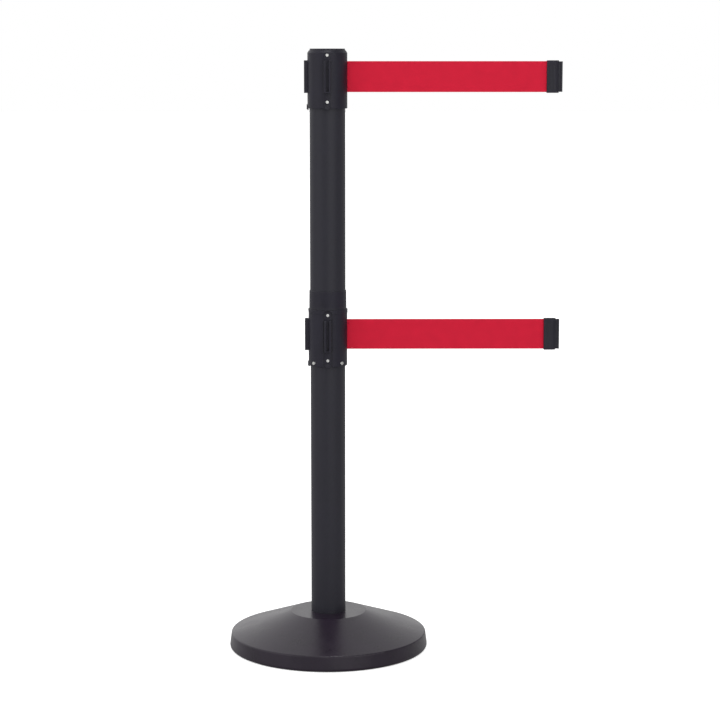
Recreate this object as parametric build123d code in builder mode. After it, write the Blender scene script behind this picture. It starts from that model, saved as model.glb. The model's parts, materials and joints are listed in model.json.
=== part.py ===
"""Twin-belt retractable queue post: a weighted base, a two-piece tube and two spring-wound belt cassettes.

The origin is on the floor at the tube's axis. +X is the way both belts leave, +Z is up, and -Y is the front.
Each cassette sits inside the tube, and a plastic sleeve outside the tube carries three belt receivers.
All sizes are in millimetres.
"""

import os
from dataclasses import dataclass
from math import acos, cos, radians, sin, tan

from build123d import *

os.makedirs("parts", exist_ok=True)

# ---------------------------------------------------------------- driving dimensions
HEIGHT = 1016.0
GAP = 0.05  # between fixed pieces that seat against each other
THROUGH = 60.0  # a cut longer than anything it goes through
STAND = (Align.CENTER, Align.CENTER, Align.MIN)

# base
BASE_RADIUS = 169.6  # where the wall would reach the floor if its edge did not curl in
BASE_FOOT_ROUND = 5.0
BASE_HEM_RADIUS = 164.0
BASE_RIM_RADIUS = 166.2
BASE_RIM_HEIGHT = 26.8
BASE_TOP_RADIUS = 64.1
BASE_HEIGHT = 62.6
BASE_SHEET = 1.5
BASE_RIM_ROUND = 2.8
BASE_TOP_ROUND = 2.0
SKIRT_LIFT = 0.5
PAD_RADIUS = 160.0
PAD_THICKNESS = 3.0
PAD_EDGE_ROUND = 1.0
WEIGHT_RADIUS = 152.0
WEIGHT_RIM_HEIGHT = 13.0
WEIGHT_EDGE = 2.0
HUB_FOOT_RADIUS = 60.0
HUB_TOP_RADIUS = 40.0
BOLT_RADIUS = 6.0
BOLT_CLEARANCE = 0.5
BOLT_HEAD_FLATS = 18.0
BOLT_HEAD_HEIGHT = 7.5
BOLT_HEAD_CHAMFER = 0.6
BOLT_POINT_CHAMFER = 1.0
BOLT_POCKET_RADIUS = 16.0
BOLT_POCKET_TOP = 24.0
BOLT_POINT_SHORT = 3.0  # how far the bolt's point stays below the foot plug's top
WASHER_RADIUS = 12.0
WASHER_THICKNESS = 2.4
SPRING_WASHER_RADIUS = 10.2
SPRING_WASHER_THICKNESS = 2.6
SPRING_WASHER_FIT = 0.2
SPRING_WASHER_SPLIT = 1.6
SPRING_WASHER_SLANT = 15
FOOT_PLUG_HEIGHT = 24.0
FOOT_PLUG_CHAMFER = 1.2

# tubes
TUBE_WALL = 1.5
LOWER_TUBE_RADIUS = 29.2
UPPER_TUBE_RADIUS = 29.7
TUBE_JOINT_HEIGHT = 600.0
UPPER_TUBE_TOP = HEIGHT - 7.0
JOINER_BELOW = 18.0
JOINER_ABOVE = 42.0
JOINER_WALL = 2.5
JOINER_LEAD = 1.5  # height of the lead-in at each end
JOINER_LEAD_DEPTH = 1.0

# plastic sleeves outside the tubes
SLEEVE_FIT = 0.2
HEAD_RADIUS = 33.1
HEAD_BOTTOM = 917.8
HEAD_SHOULDER = 1009.0
HEAD_TOP = 1013.3
HEAD_MOUTH_RADIUS = 29.5
HEAD_CROWN_RADIUS = 30.4
SLEEVE_EDGE_ROUND = 0.7
COLLAR_FOOT_ROUND = 1.2
COLLAR_LIP_STEP = 0.6
CHANNEL_FIT = 0.2
CHANNEL_RUN_OUT = 100.0  # the channel is cut this far below the belt's middle, past the foot
COLLAR_BOTTOM = 487.5
COLLAR_TOP = 583.4
COLLAR_LIP_BOTTOM = 577.0
COLLAR_LIP_RADIUS = 33.2
COLLAR_TOP_RADIUS = 32.75
COLLAR_FOOT_RADIUS = 32.5
ADAPTER_TOP = 614.6
ADAPTER_EDGE = 0.5
ADAPTER_FOOT_RADIUS = 31.25
ADAPTER_TOP_RADIUS = 30.95
COLLAR_CHANNEL_WIDTH = 15.7
COLLAR_CHANNEL_ABOVE = 43.0
COLLAR_SCREW_HEIGHT = 493.5
COLLAR_SCREW_ANGLES = (45, 135, 225, 315)
COLLAR_SCREW_RADIUS = 1.9
COLLAR_SCREW_HEAD_RADIUS = 3.1
COLLAR_SCREW_HEAD_HEIGHT = 1.8
COLLAR_SCREW_HEAD_TAPER = 12
COLLAR_SCREW_SEAT = COLLAR_FOOT_RADIUS - 0.2
COLLAR_SCREW_CROSS = 3.2
COLLAR_SCREW_CROSS_WIDTH = 0.8
COLLAR_SCREW_FIT = 0.3

# top cap
CAP_UNDERSIDE = UPPER_TUBE_TOP + 0.2
CAP_FIT = 0.15
CAP_EDGE = 0.8
CAP_DISH_RADIUS = 24.2
CAP_DISH_DEPTH = 0.8
CAP_SKIRT = 5.0
CAP_SKIRT_WALL = 2.2
CAP_SKIRT_FIT = 0.1

# belt
BELT_WIDTH = 50.8
BELT_THICKNESS = 0.6
BELT_OUT = 330.0  # strap between the exit and the belt end in the stored pose
ROLL_RADIUS = 24.4
RUNNING_GAP = 0.35

# cassette
ARBOR_RADIUS = 4.0
ARBOR_RUNNING_FIT = 0.06
ARBOR_BELOW = 40.0
ARBOR_ABOVE = 31.0
ARBOR_CHAMFER = 0.6
ARBOR_SLOT_ROOM = 0.5  # of the slot past the spring at each end, and past the arbor's side
DRUM_RADIUS = 14.0
DRUM_WALL = 1.4
FLANGE_RADIUS = 25.5
FLANGE_THICKNESS = 1.3
SPOOL_HALF = 27.2
DRUM_END_WALL = 2.7
WASHER_GAP = 0.1
THRUST_WASHER = 0.5
THRUST_WASHER_RADIUS = 9.0
THRUST_WASHER_FIT = 0.2
PLATE_HALF = SPOOL_HALF + WASHER_GAP + THRUST_WASHER
PLATE_DISC = 3.5
PLATE_RIM = 5.0
PLATE_HUB_RADIUS = 8.0
BASE_PLATE_DEPTH = 46.0
LID_PLATE_HEIGHT = 38.5
SPRING_STRIP = 0.4
SPRING_PITCH = 0.83
SPRING_TURNS = 9
SPRING_START = 0.6
SPRING_HALF = 22.0
SPRING_TAB = 3.2  # bent inner end, which sits in the arbor's slot
SPRING_TAB_SHIFT = 1.4

# belt exit
GUIDE_INNER_FACE = 26.2
GUIDE_HALF_WIDTH = 4.6
GUIDE_HALF_HEIGHT = PLATE_HALF - WASHER_GAP
GUIDE_SLOT_HALF = 1.0
GUIDE_POCKET_HALF = 3.3
GUIDE_POCKET_END = 29.7
GUIDE_SLOT_HEIGHT = BELT_WIDTH + 1.6
GUIDE_CORNER = 27.0  # where the belt turns into the exit
GUIDE_TURN_RADIUS = 1.6
GUIDE_PIN_RADIUS = 1.2
GUIDE_PIN_END = 0.4
GUIDE_FLARE_DEPTH = 1.5
GUIDE_FLARE = 1.6
GUIDE_FIT = 0.1

# receiver
RECEIVER_ANGLES = {"front": 270, "left": 180, "rear": 90}
RECEIVER_WIDTH = 11.8
RECEIVER_ABOVE = 39.7
RECEIVER_BELOW = 55.0
BLOCK_FACE = 38.7  # distance of the block's front from the axis
BLOCK_HEIGHT = 53.5
BLOCK_FLOOR = 2.5
RAIL_SLOT_MOUTH = 5.0
RAIL_SLOT_WIDTH = 9.4
RAIL_SLOT_LIP = 2.0
RAIL_SLOT_DEPTH = 5.5
SCREW_HIGH = 35.3
SCREW_LOW = -41.2
SCREW_RADIUS = 1.5
SCREW_HOLE_RADIUS = 1.7
SCREW_HEAD_RADIUS = 2.4
SCREW_HEAD_DEPTH = 1.5
SCREW_HEAD_SUNK = 0.1
SCREW_CROSS = 2.3
SCREW_CROSS_WIDTH = 0.7
SCREW_CROSS_DEPTH = 0.6  # of the head's depth
SCREW_RECESS_FIT = 0.3
SCREW_RECESS_FLARE = 0.5
SCREW_TIP = 24.0
BLOCK_EDGE_ROUND = 0.8
THUMB_BOSS_LOW = -49.5
THUMB_BOSS_RADIUS = 4.6
THUMB_BOSS_PROUD = 1.2
THUMB_BOSS_TAPER = 8

# belt end
CLIP_GAP = 0.5
CLIP_BACK = HEAD_RADIUS + CLIP_GAP + BELT_OUT
CLIP_HEIGHT = 53.5
CLIP_HALF_THICKNESS = 4.5
CLIP_BODY_LENGTH = 15.0
CLIP_TAPER_LENGTH = 5.0
RAIL_NECK_LENGTH = 3.0
RAIL_NECK_HALF = 2.1
RAIL_HALF_WIDTH = 4.2
RAIL_THICKNESS = 3.0
RAIL_HEIGHT = 50.0
CLIP_PIN_X = CLIP_BACK + 8.0
CLIP_PIN_RADIUS = 1.5
BELT_LOOP_RADIUS = 2.4
CLIP_BACK_ROUND = 1.2
CLIP_SHOULDER_ROUND = 2.5
CLIP_EDGE = 0.7
CLIP_SLOT_FIT = 0.4
CLIP_PIN_END = 0.3
GRIP_RIBS = 5
GRIP_PITCH = 2.3
GRIP_WIDTH = 1.1
GRIP_DEPTH = 0.5
GRIP_HEIGHT = 42.0
RAIL_ROUND = 0.6
BELT_START = HEAD_RADIUS + 0.2


@dataclass
class Unit:
    """One belt cassette with its sleeve: name, middle height of its belt, tube radius, sleeve radii."""

    name: str
    middle: float
    tube_radius: float
    sleeve_radius: float
    channel_floor: float


UPPER = Unit("upper", 970.0, UPPER_TUBE_RADIUS, HEAD_RADIUS, 31.25)
LOWER = Unit("lower", 540.0, LOWER_TUBE_RADIUS, COLLAR_FOOT_RADIUS, 30.65)
UNITS = (UPPER, LOWER)


def radial_plane(angle, height, radius=0.0):
    """A plane square to the radius at this angle: x runs round the tube, y is up and z is outward."""
    turn = radians(angle)
    outward = (cos(turn), sin(turn), 0)
    origin = (radius * outward[0], radius * outward[1], height)
    return Plane(origin=origin, x_dir=(-outward[1], outward[0], 0), z_dir=outward)


def receiver_screw_planes(unit, radius):
    """The planes of one unit's six receiver screws, at this distance from the axis."""
    heights = (unit.middle + SCREW_HIGH, unit.middle + SCREW_LOW)
    return [radial_plane(a, h, radius) for a in RECEIVER_ANGLES.values() for h in heights]


def cut_receiver_screw_holes(unit, radius):
    """Cuts the six radial screw holes through the wall of the part being built."""
    for plane in receiver_screw_planes(unit, 0):
        with BuildSketch(plane) as hole:
            Circle(radius)
        extrude(hole.sketch, amount=THROUGH, mode=Mode.SUBTRACT)


def cut_belt_window(unit):
    """Cuts the window that the exit guide stands in."""
    with BuildSketch(radial_plane(0, unit.middle)) as window:
        Rectangle(2 * (GUIDE_HALF_WIDTH + GUIDE_FIT), 2 * (GUIDE_HALF_HEIGHT + GUIDE_FIT))
    extrude(window.sketch, amount=THROUGH, mode=Mode.SUBTRACT)


# ---------------------------------------------------------------- base
def make_base_cover():
    """A spun steel cover: a hem curled in at the floor, a short rim, a straight cone and a flat top."""
    rounds = {
        BASE_RADIUS: BASE_FOOT_ROUND,
        BASE_RIM_RADIUS: BASE_RIM_ROUND,
        BASE_TOP_RADIUS: BASE_TOP_ROUND,
    }
    with BuildPart() as base_cover:
        with BuildSketch(Plane.XZ) as profile:
            with BuildLine():
                Polyline(
                    (0, SKIRT_LIFT),
                    (BASE_RADIUS, SKIRT_LIFT),
                    (BASE_RIM_RADIUS, BASE_RIM_HEIGHT),
                    (BASE_TOP_RADIUS, BASE_HEIGHT),
                    (0, BASE_HEIGHT),
                    close=True,
                )
            make_face()
            for corner, size in rounds.items():
                fillet(profile.vertices().filter_by(lambda v: abs(v.X - corner) < 0.1), radius=size)
            offset(amount=-BASE_SHEET, mode=Mode.SUBTRACT)
            with Locations((0, SKIRT_LIFT)):
                Rectangle(2 * BASE_HEM_RADIUS, 2 * BASE_SHEET, mode=Mode.SUBTRACT)
            Rectangle(2 * (BOLT_RADIUS + BOLT_CLEARANCE), 3 * BASE_HEIGHT, mode=Mode.SUBTRACT)
        revolve(axis=Axis.Z)
    base_cover.part.label = "base_cover"
    export_step(base_cover.part, "parts/base_cover.step")


def make_base_weight():
    """The cast iron weight under the cover, with a hub under the tube and a pocket for the bolt."""
    hub_top = BASE_HEIGHT - BASE_SHEET - GAP
    hole = BOLT_RADIUS + BOLT_CLEARANCE
    with BuildPart() as base_weight:
        with BuildSketch(Plane.XZ):
            with BuildLine():
                Polyline(
                    (BOLT_POCKET_RADIUS, PAD_THICKNESS),
                    (WEIGHT_RADIUS, PAD_THICKNESS),
                    (WEIGHT_RADIUS, PAD_THICKNESS + WEIGHT_RIM_HEIGHT),
                    (HUB_FOOT_RADIUS, PAD_THICKNESS + WEIGHT_RIM_HEIGHT),
                    (HUB_TOP_RADIUS, hub_top),
                    (hole, hub_top),
                    (hole, BOLT_POCKET_TOP),
                    (BOLT_POCKET_RADIUS, BOLT_POCKET_TOP),
                    close=True,
                )
            make_face()
        revolve(axis=Axis.Z)
        rim = base_weight.edges().filter_by(GeomType.CIRCLE).filter_by(lambda e: e.radius > 100)
        chamfer(rim, length=WEIGHT_EDGE)
    base_weight.part.label = "base_weight"
    export_step(base_weight.part, "parts/base_weight.step")


def make_floor_pad():
    """The rubber disc that the whole post stands on."""
    with BuildPart() as floor_pad:
        Cylinder(PAD_RADIUS, PAD_THICKNESS, align=STAND)
        fillet(floor_pad.edges().group_by(Axis.Z)[-1], radius=PAD_EDGE_ROUND)
    floor_pad.part.label = "floor_pad"
    export_step(floor_pad.part, "parts/floor_pad.step")


def make_base_fasteners():
    """The bolt that pulls the tube down on the base, with its flat washer and split spring washer."""
    washer_bottom = BOLT_POCKET_TOP - WASHER_THICKNESS
    head_top = washer_bottom - SPRING_WASHER_THICKNESS
    head_bottom = head_top - BOLT_HEAD_HEIGHT
    with BuildPart() as base_bolt:
        with BuildSketch(Plane.XY.offset(head_bottom)):
            RegularPolygon(BOLT_HEAD_FLATS / 2, 6, major_radius=False)
        extrude(amount=BOLT_HEAD_HEIGHT)
        chamfer(base_bolt.edges().group_by(Axis.Z)[0], length=BOLT_HEAD_CHAMFER)
        with BuildSketch(Plane.XY.offset(head_top)):
            Circle(BOLT_RADIUS - GAP)
        extrude(amount=BASE_HEIGHT + FOOT_PLUG_HEIGHT - BOLT_POINT_SHORT - head_top)
        chamfer(base_bolt.edges().group_by(Axis.Z)[-1], length=BOLT_POINT_CHAMFER)
    base_bolt.part.label = "base_bolt"
    export_step(base_bolt.part, "parts/base_bolt.step")

    with BuildPart() as flat_washer:
        with BuildSketch(Plane.XY.offset(washer_bottom)):
            Circle(WASHER_RADIUS)
            Circle(BOLT_RADIUS + BOLT_CLEARANCE, mode=Mode.SUBTRACT)
        extrude(amount=WASHER_THICKNESS)
    flat_washer.part.label = "flat_washer"
    export_step(flat_washer.part, "parts/flat_washer.step")

    with BuildPart() as spring_washer:
        with BuildSketch(Plane.XY.offset(head_top)):
            Circle(SPRING_WASHER_RADIUS)
            Circle(BOLT_RADIUS + SPRING_WASHER_FIT, mode=Mode.SUBTRACT)
            with Locations(Location(((BOLT_RADIUS + SPRING_WASHER_RADIUS) / 2, 0), SPRING_WASHER_SLANT)):
                Rectangle(WASHER_RADIUS, SPRING_WASHER_SPLIT, mode=Mode.SUBTRACT)
        extrude(amount=SPRING_WASHER_THICKNESS)
    spring_washer.part.label = "spring_washer"
    export_step(spring_washer.part, "parts/spring_washer.step")


# ---------------------------------------------------------------- tubes
def make_foot_plug():
    """The steel plug welded into the tube's foot, tapped for the base bolt."""
    with BuildPart() as foot_plug:
        with BuildSketch(Plane.XY.offset(BASE_HEIGHT)):
            Circle(LOWER_TUBE_RADIUS - TUBE_WALL - GAP)
        extrude(amount=FOOT_PLUG_HEIGHT)
        with Locations(Plane.XY.offset(BASE_HEIGHT + FOOT_PLUG_HEIGHT)):
            Hole(BOLT_RADIUS)
        chamfer(foot_plug.edges().group_by(Axis.Z)[0].sort_by(SortBy.RADIUS)[-1], length=FOOT_PLUG_CHAMFER)
    foot_plug.part.label = "foot_plug"
    export_step(foot_plug.part, "parts/foot_plug.step")


def make_lower_tube():
    """The lower tube runs from the base up through the middle collar, with a window for the lower belt."""
    with BuildPart() as lower_tube:
        with BuildSketch(Plane.XY.offset(BASE_HEIGHT)):
            Circle(LOWER_TUBE_RADIUS)
            Circle(LOWER_TUBE_RADIUS - TUBE_WALL, mode=Mode.SUBTRACT)
        extrude(amount=TUBE_JOINT_HEIGHT - BASE_HEIGHT)
        cut_belt_window(LOWER)
        cut_receiver_screw_holes(LOWER, SCREW_HOLE_RADIUS)
        for angle in COLLAR_SCREW_ANGLES:
            with BuildSketch(radial_plane(angle, COLLAR_SCREW_HEIGHT)):
                Circle(COLLAR_SCREW_RADIUS)
            extrude(amount=THROUGH, mode=Mode.SUBTRACT)
    lower_tube.part.label = "lower_tube"
    export_step(lower_tube.part, "parts/lower_tube.step")


def make_upper_tube():
    """The upper tube stands on the lower one inside the adapter sleeve and carries the head."""
    with BuildPart() as upper_tube:
        with BuildSketch(Plane.XY.offset(TUBE_JOINT_HEIGHT)):
            Circle(UPPER_TUBE_RADIUS)
            Circle(UPPER_TUBE_RADIUS - TUBE_WALL, mode=Mode.SUBTRACT)
        extrude(amount=UPPER_TUBE_TOP - TUBE_JOINT_HEIGHT)
        cut_belt_window(UPPER)
        cut_receiver_screw_holes(UPPER, SCREW_HOLE_RADIUS)
    upper_tube.part.label = "upper_tube"
    export_step(upper_tube.part, "parts/upper_tube.step")


def make_tube_joiner():
    """A stepped steel spigot inside both tubes, which keeps them in line."""
    bottom = TUBE_JOINT_HEIGHT - JOINER_BELOW
    top = TUBE_JOINT_HEIGHT + JOINER_ABOVE
    lower_fit = LOWER_TUBE_RADIUS - TUBE_WALL - GAP
    upper_fit = UPPER_TUBE_RADIUS - TUBE_WALL - GAP
    bore = lower_fit - JOINER_WALL
    with BuildPart() as tube_joiner:
        with BuildSketch(Plane.XZ):
            with BuildLine():
                Polyline(
                    (bore, bottom),
                    (lower_fit - JOINER_LEAD_DEPTH, bottom),
                    (lower_fit, bottom + JOINER_LEAD),
                    (lower_fit, TUBE_JOINT_HEIGHT),
                    (upper_fit, TUBE_JOINT_HEIGHT + GAP),
                    (upper_fit, top - JOINER_LEAD),
                    (upper_fit - JOINER_LEAD_DEPTH, top),
                    (bore, top),
                    close=True,
                )
            make_face()
        revolve(axis=Axis.Z)
    tube_joiner.part.label = "tube_joiner"
    export_step(tube_joiner.part, "parts/tube_joiner.step")


# ---------------------------------------------------------------- sleeves
def cut_receiver_channels(unit, width, above):
    """Cuts the three channels that the receiver plates lie in, round at the top and open at the bottom."""
    straight = above - width / 2
    for angle in RECEIVER_ANGLES.values():
        with BuildSketch(radial_plane(angle, unit.middle, unit.channel_floor)) as channel:
            with Locations((0, (straight - CHANNEL_RUN_OUT) / 2)):
                Rectangle(width, straight + CHANNEL_RUN_OUT)
            with Locations((0, straight)):
                Circle(width / 2)
        extrude(channel.sketch, amount=THROUGH, mode=Mode.SUBTRACT)


def make_head_sleeve():
    """The moulded sleeve round the top of the post, with a sloped shoulder below the cap."""
    bore = UPPER_TUBE_RADIUS + SLEEVE_FIT
    with BuildPart() as head_sleeve:
        with BuildSketch(Plane.XZ):
            with BuildLine():
                Polyline(
                    (bore, HEAD_BOTTOM),
                    (HEAD_RADIUS, HEAD_BOTTOM),
                    (HEAD_RADIUS, HEAD_SHOULDER),
                    (HEAD_CROWN_RADIUS, HEAD_TOP),
                    (HEAD_MOUTH_RADIUS, HEAD_TOP),
                    (HEAD_MOUTH_RADIUS, UPPER_TUBE_TOP + GAP),
                    (bore, UPPER_TUBE_TOP + GAP),
                    close=True,
                )
            make_face()
        revolve(axis=Axis.Z)
        outside = head_sleeve.edges().filter_by(GeomType.CIRCLE)
        fillet(outside.filter_by(lambda e: e.radius > HEAD_RADIUS - 0.1), radius=SLEEVE_EDGE_ROUND)
        cut_receiver_channels(UPPER, RECEIVER_WIDTH + 2 * CHANNEL_FIT, RECEIVER_ABOVE + CHANNEL_FIT)
        cut_belt_window(UPPER)
        cut_receiver_screw_holes(UPPER, SCREW_HOLE_RADIUS)
    head_sleeve.part.label = "head_sleeve"
    export_step(head_sleeve.part, "parts/head_sleeve.step")


def make_collar_sleeve():
    """The moulded collar halfway up: a lip at its top, wide channels and four screw holes at its foot."""
    bore = LOWER_TUBE_RADIUS + SLEEVE_FIT
    with BuildPart() as collar_sleeve:
        with BuildSketch(Plane.XZ):
            with BuildLine():
                Polyline(
                    (bore, COLLAR_BOTTOM),
                    (COLLAR_FOOT_RADIUS, COLLAR_BOTTOM),
                    (COLLAR_TOP_RADIUS, COLLAR_LIP_BOTTOM - COLLAR_LIP_STEP),
                    (COLLAR_LIP_RADIUS, COLLAR_LIP_BOTTOM),
                    (COLLAR_LIP_RADIUS, COLLAR_TOP),
                    (bore, COLLAR_TOP),
                    close=True,
                )
            make_face()
        revolve(axis=Axis.Z)
        rings = collar_sleeve.edges().filter_by(GeomType.CIRCLE)
        fillet(rings.filter_by(lambda e: e.radius > 32).group_by(Axis.Z)[0], radius=COLLAR_FOOT_ROUND)
        fillet(rings.filter_by(lambda e: e.radius > 32).group_by(Axis.Z)[-1], radius=SLEEVE_EDGE_ROUND)
        cut_receiver_channels(LOWER, COLLAR_CHANNEL_WIDTH, COLLAR_CHANNEL_ABOVE)
        cut_belt_window(LOWER)
        cut_receiver_screw_holes(LOWER, SCREW_HOLE_RADIUS)
        for angle in COLLAR_SCREW_ANGLES:
            with BuildSketch(radial_plane(angle, COLLAR_SCREW_HEIGHT)):
                Circle(COLLAR_SCREW_RADIUS + COLLAR_SCREW_FIT)
            extrude(amount=THROUGH, mode=Mode.SUBTRACT)
            with BuildSketch(radial_plane(angle, COLLAR_SCREW_HEIGHT, COLLAR_SCREW_SEAT)):
                Circle(COLLAR_SCREW_HEAD_RADIUS + SLEEVE_FIT)
            extrude(amount=THROUGH, mode=Mode.SUBTRACT)
    collar_sleeve.part.label = "collar_sleeve"
    export_step(collar_sleeve.part, "parts/collar_sleeve.step")


def make_adapter_sleeve():
    """The plain sleeve above the collar, which covers the joint between the two tubes."""
    lower_bore = LOWER_TUBE_RADIUS + SLEEVE_FIT
    upper_bore = UPPER_TUBE_RADIUS + SLEEVE_FIT
    bottom = COLLAR_TOP + GAP
    with BuildPart() as adapter_sleeve:
        with BuildSketch(Plane.XZ):
            with BuildLine():
                Polyline(
                    (lower_bore, bottom),
                    (ADAPTER_FOOT_RADIUS, bottom),
                    (ADAPTER_TOP_RADIUS, ADAPTER_TOP),
                    (upper_bore, ADAPTER_TOP),
                    (upper_bore, TUBE_JOINT_HEIGHT - GAP),
                    (lower_bore, TUBE_JOINT_HEIGHT - GAP),
                    close=True,
                )
            make_face()
        revolve(axis=Axis.Z)
        chamfer(adapter_sleeve.edges().group_by(Axis.Z)[-1].sort_by(SortBy.RADIUS)[-1], length=ADAPTER_EDGE)
    adapter_sleeve.part.label = "adapter_sleeve"
    export_step(adapter_sleeve.part, "parts/adapter_sleeve.step")


def make_top_cap():
    """The round cap in the head's mouth: a shallow dish on top and a skirt inside the cassette lid."""
    outer = HEAD_MOUTH_RADIUS - CAP_FIT
    skirt_radius = UPPER_TUBE_RADIUS - TUBE_WALL - 2 * GAP - PLATE_RIM - CAP_SKIRT_FIT
    with BuildPart() as top_cap:
        with BuildSketch(Plane.XZ):
            with BuildLine():
                Polyline(
                    (0, CAP_UNDERSIDE),
                    (skirt_radius - CAP_SKIRT_WALL, CAP_UNDERSIDE),
                    (skirt_radius - CAP_SKIRT_WALL, CAP_UNDERSIDE - CAP_SKIRT),
                    (skirt_radius, CAP_UNDERSIDE - CAP_SKIRT),
                    (skirt_radius, CAP_UNDERSIDE),
                    (outer, CAP_UNDERSIDE),
                    (outer, HEIGHT - CAP_EDGE),
                    (outer - CAP_EDGE, HEIGHT),
                    (CAP_DISH_RADIUS + CAP_DISH_DEPTH, HEIGHT),
                    (CAP_DISH_RADIUS, HEIGHT - CAP_DISH_DEPTH),
                    (0, HEIGHT - CAP_DISH_DEPTH),
                    close=True,
                )
            make_face()
        revolve(axis=Axis.Z)
    top_cap.part.label = "top_cap"
    export_step(top_cap.part, "parts/top_cap.step")


def make_collar_screws():
    """The four round-head screws round the collar's foot, with cross recesses."""
    tip = LOWER_TUBE_RADIUS - TUBE_WALL + 2 * GAP
    cross_floor = COLLAR_SCREW_SEAT + COLLAR_SCREW_CROSS_WIDTH
    with BuildPart() as collar_screws:
        for angle in COLLAR_SCREW_ANGLES:
            with BuildSketch(radial_plane(angle, COLLAR_SCREW_HEIGHT, COLLAR_SCREW_SEAT + GAP)):
                Circle(COLLAR_SCREW_HEAD_RADIUS)
            extrude(amount=COLLAR_SCREW_HEAD_HEIGHT, taper=COLLAR_SCREW_HEAD_TAPER)
            with BuildSketch(radial_plane(angle, COLLAR_SCREW_HEIGHT, tip)):
                Circle(COLLAR_SCREW_RADIUS - GAP)
            extrude(amount=COLLAR_SCREW_SEAT + GAP - tip)
            with BuildSketch(radial_plane(angle, COLLAR_SCREW_HEIGHT, cross_floor)):
                Rectangle(COLLAR_SCREW_CROSS, COLLAR_SCREW_CROSS_WIDTH)
                Rectangle(COLLAR_SCREW_CROSS_WIDTH, COLLAR_SCREW_CROSS)
            extrude(amount=COLLAR_SCREW_HEAD_HEIGHT, mode=Mode.SUBTRACT)
    collar_screws.part.label = "collar_screws"
    export_step(collar_screws.part, "parts/collar_screws.step")


# ---------------------------------------------------------------- receivers
def make_receiver(unit, side, angle):
    """A belt receiver: a plate in the sleeve's channel and a proud block with a T-slot open at its top."""
    plate_back = unit.channel_floor + GAP
    plate_middle = (RECEIVER_ABOVE - RECEIVER_BELOW) / 2
    slot_bottom = BLOCK_FLOOR - BLOCK_HEIGHT / 2
    slot_middle = (slot_bottom + BLOCK_HEIGHT) / 2
    slot_length = BLOCK_HEIGHT - slot_bottom
    slot_floor = BLOCK_FACE - RAIL_SLOT_DEPTH
    outward = Axis((0, 0, 0), radial_plane(angle, 0).z_dir)
    recess_radius = SCREW_HEAD_RADIUS + SCREW_RECESS_FLARE
    recess_depth = SCREW_HEAD_DEPTH + SCREW_RECESS_FIT
    name = f"{unit.name}_{side}_receiver"
    with BuildPart() as receiver:
        with BuildSketch(radial_plane(angle, unit.middle, plate_back)):
            with Locations((0, plate_middle)):
                SlotOverall(RECEIVER_ABOVE + RECEIVER_BELOW, RECEIVER_WIDTH, rotation=90)
        extrude(amount=unit.sleeve_radius)
        with Locations((0, 0, unit.middle)):
            Cylinder(unit.sleeve_radius, 3 * BLOCK_HEIGHT, mode=Mode.INTERSECT)
        with BuildSketch(radial_plane(angle, unit.middle, plate_back)):
            Rectangle(RECEIVER_WIDTH, BLOCK_HEIGHT)
        extrude(amount=BLOCK_FACE - plate_back)
        fillet(receiver.faces().sort_by(outward)[-1].edges(), radius=BLOCK_EDGE_ROUND)
        with BuildSketch(radial_plane(angle, unit.middle + THUMB_BOSS_LOW, plate_back)):
            Circle(THUMB_BOSS_RADIUS)
        extrude(amount=unit.sleeve_radius + THUMB_BOSS_PROUD - plate_back, taper=THUMB_BOSS_TAPER)
        with BuildSketch(radial_plane(angle, unit.middle, slot_floor)):
            with Locations((0, slot_middle)):
                Rectangle(RAIL_SLOT_WIDTH, slot_length)
        extrude(amount=RAIL_SLOT_DEPTH - RAIL_SLOT_LIP, mode=Mode.SUBTRACT)
        with BuildSketch(radial_plane(angle, unit.middle, slot_floor)):
            with Locations((0, slot_middle)):
                Rectangle(RAIL_SLOT_MOUTH, slot_length)
        extrude(amount=RAIL_SLOT_DEPTH + 1, mode=Mode.SUBTRACT)
        for height in (SCREW_HIGH, SCREW_LOW):
            seat = radial_plane(angle, unit.middle + height, unit.sleeve_radius - SCREW_HEAD_DEPTH)
            with Locations(seat):
                Cylinder(SCREW_HOLE_RADIUS, 2 * SCREW_HEAD_DEPTH + 2, mode=Mode.SUBTRACT)
                Cone(SCREW_HOLE_RADIUS, recess_radius, recess_depth, align=STAND, mode=Mode.SUBTRACT)
    receiver.part.label = name
    export_step(receiver.part, f"parts/{name}.step")


def make_receiver_screws(unit):
    """The six countersunk screws that hold the receivers, the sleeve, the tube and the cassette together."""
    name = f"{unit.name}_receiver_screws"
    face = unit.sleeve_radius - SCREW_HEAD_SUNK
    recess = SCREW_HEAD_DEPTH * SCREW_CROSS_DEPTH
    with BuildPart() as screws:
        for plane in receiver_screw_planes(unit, 0):
            with BuildSketch(plane.offset(SCREW_TIP)):
                Circle(SCREW_RADIUS - GAP)
            extrude(amount=face - 2 * GAP - SCREW_TIP)
            with Locations(plane.offset(face - SCREW_HEAD_DEPTH)):
                Cone(SCREW_RADIUS - GAP, SCREW_HEAD_RADIUS, SCREW_HEAD_DEPTH, align=STAND)
            with BuildSketch(plane.offset(face - recess)):
                Rectangle(SCREW_CROSS, SCREW_CROSS_WIDTH)
                Rectangle(SCREW_CROSS_WIDTH, SCREW_CROSS)
            extrude(amount=SCREW_HEAD_DEPTH, mode=Mode.SUBTRACT)
    screws.part.label = name
    export_step(screws.part, f"parts/{name}.step")


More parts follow.
